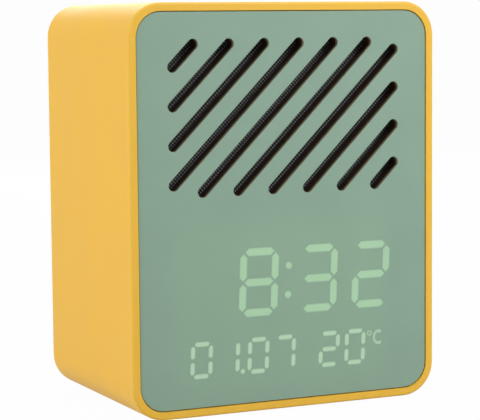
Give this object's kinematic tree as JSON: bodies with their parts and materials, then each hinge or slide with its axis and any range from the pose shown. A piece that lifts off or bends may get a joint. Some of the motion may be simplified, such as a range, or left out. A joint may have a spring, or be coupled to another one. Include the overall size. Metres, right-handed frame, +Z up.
{
  "type": "talking clock",
  "caption": "Small desk clock with a rounded shell, a thin front panel with slanted sound slots over a speaker, a hidden segment display, a talk button and rear keys.",
  "frame": {"origin": "centre of the underside, on the plane that the feet stand on", "axes": "+Z up, +Y from the front panel to the rear cover, +X to the right seen from the front"},
  "size_m": [0.087, 0.06, 0.1058],
  "materials": {
    "shell_yellow": "fine matt moulded ABS",
    "button_yellow": "fine matt moulded ABS",
    "cover_yellow": "fine matt moulded ABS",
    "door_yellow": "fine matt moulded ABS",
    "panel_green": "satin thin sheet, pale green",
    "key_green": "matt moulded plastic",
    "frame_black": "matt moulded plastic",
    "tape_black": "adhesive foam tape",
    "knob_black": "matt moulded plastic",
    "foot_rubber": "soft matt rubber",
    "speaker_cloth": "open plain weave",
    "foam_black": "closed cell foam",
    "basket_steel": "zinc plated sheet steel",
    "surround_rubber": "thin rubber roll",
    "cone_paper": "pressed paper pulp",
    "spider_cloth": "treated cloth",
    "coil_copper": "lacquered copper wire",
    "magnet_ferrite": "ferrite",
    "terminal_board": "phenolic strip",
    "screw_steel": "zinc plated",
    "film_white": "translucent film",
    "led_white": "resin lens",
    "board_green": "solder mask",
    "chip_black": "epoxy",
    "silicone_white": "silicone",
    "cell_can": "plain printed sleeve",
    "spring_nickel": "nickel plated",
    "crystal_can": "drawn can",
    "capacitor_can": "sleeved can",
    "connector_white": "nylon",
    "sensor_bead": "resin bead",
    "socket_steel": "nickel plated shell",
    "wire_black": "soft insulation",
    "wire_red": "soft insulation",
    "ribbon_white": "flat cable"
  },
  "bodies": {
    "housing": {"casing": "shell_yellow", "feet": "foot_rubber", "front_panel": "panel_green", "panel_tape": "tape_black", "front_frame": "frame_black", "front_screws": "screw_steel", "speaker_cloth": "speaker_cloth", "speaker_gasket": "foam_black", "speaker_basket": "basket_steel", "speaker_surround": "surround_rubber", "speaker_spider": "spider_cloth", "speaker_top_plate": "basket_steel", "speaker_magnet": "magnet_ferrite", "speaker_yoke": "basket_steel", "speaker_terminals": "terminal_board", "speaker_screws": "screw_steel", "diffuser_film": "film_white", "segment_mask": "frame_black", "display_leds": "led_white", "display_board": "board_green", "display_drivers": "chip_black", "display_screws": "screw_steel", "talk_dome": "silicone_white", "talk_board": "board_green", "talk_board_screws": "screw_steel", "rear_cover": "cover_yellow", "rear_screws": "screw_steel", "battery_cells": "cell_can", "battery_springs": "spring_nickel", "battery_contacts": "spring_nickel", "main_board": "board_green", "main_board_screws": "screw_steel", "speech_chip": "chip_black", "clock_chip": "chip_black", "clock_crystal": "crystal_can", "capacitors": "capacitor_can", "board_connectors": "connector_white", "temperature_sensor": "sensor_bead", "key_switches": "chip_black", "alarm_switch_body": "chip_black", "power_socket": "socket_steel", "speaker_lead": "wire_black", "talk_lead": "wire_black", "battery_lead": "wire_red", "display_cable": "ribbon_white"},
    "talk_button": {"talk_button": "button_yellow"},
    "set_key": {"set_button": "key_green", "set_plunger": "frame_black"},
    "minus_key": {"minus_button": "key_green", "minus_plunger": "frame_black"},
    "plus_key": {"plus_button": "key_green", "plus_plunger": "frame_black"},
    "alarm_key": {"alarm_button": "key_green", "alarm_plunger": "frame_black"},
    "alarm_switch": {"alarm_switch_knob": "knob_black"},
    "battery_door": {"battery_door": "door_yellow"},
    "speaker_cone": {"speaker_cone": "cone_paper", "speaker_dust_cap": "cone_paper", "voice_coil": "coil_copper"}
  },
  "joints": [
    {"name": "talk_button_press", "type": "slide", "parent": "housing", "child": "talk_button", "axis": [0, 0, -1], "range_m": [0, 0.001], "stiffness_N_per_m": 400, "springref_m": -0.004, "deforming": ["talk_dome"]},
    {"name": "set_key_press", "type": "slide", "parent": "housing", "child": "set_key", "axis": [0, -1, 0], "range_m": [0, 0.0005], "stiffness_N_per_m": 120, "springref_m": -0.004},
    {"name": "minus_key_press", "type": "slide", "parent": "housing", "child": "minus_key", "axis": [0, -1, 0], "range_m": [0, 0.0005], "stiffness_N_per_m": 120, "springref_m": -0.004},
    {"name": "plus_key_press", "type": "slide", "parent": "housing", "child": "plus_key", "axis": [0, -1, 0], "range_m": [0, 0.0005], "stiffness_N_per_m": 120, "springref_m": -0.004},
    {"name": "alarm_key_press", "type": "slide", "parent": "housing", "child": "alarm_key", "axis": [0, -1, 0], "range_m": [0, 0.0005], "stiffness_N_per_m": 120, "springref_m": -0.004},
    {"name": "alarm_switch_slide", "type": "slide", "parent": "housing", "child": "alarm_switch", "axis": [1, 0, 0], "range_m": [0, 0.004]},
    {"name": "battery_door_hinge", "type": "hinge", "parent": "housing", "child": "battery_door", "pos_m": [0, 0.0276, 0.0129], "axis": [-1, 0, 0], "range_deg": [0, 85]},
    {"name": "speaker_cone_stroke", "type": "slide", "parent": "housing", "child": "speaker_cone", "axis": [0, 1, 0], "range_m": [-0.0008, 0.0008], "stiffness_N_per_m": 300, "deforming": ["speaker_surround", "speaker_spider"]}
  ]
}
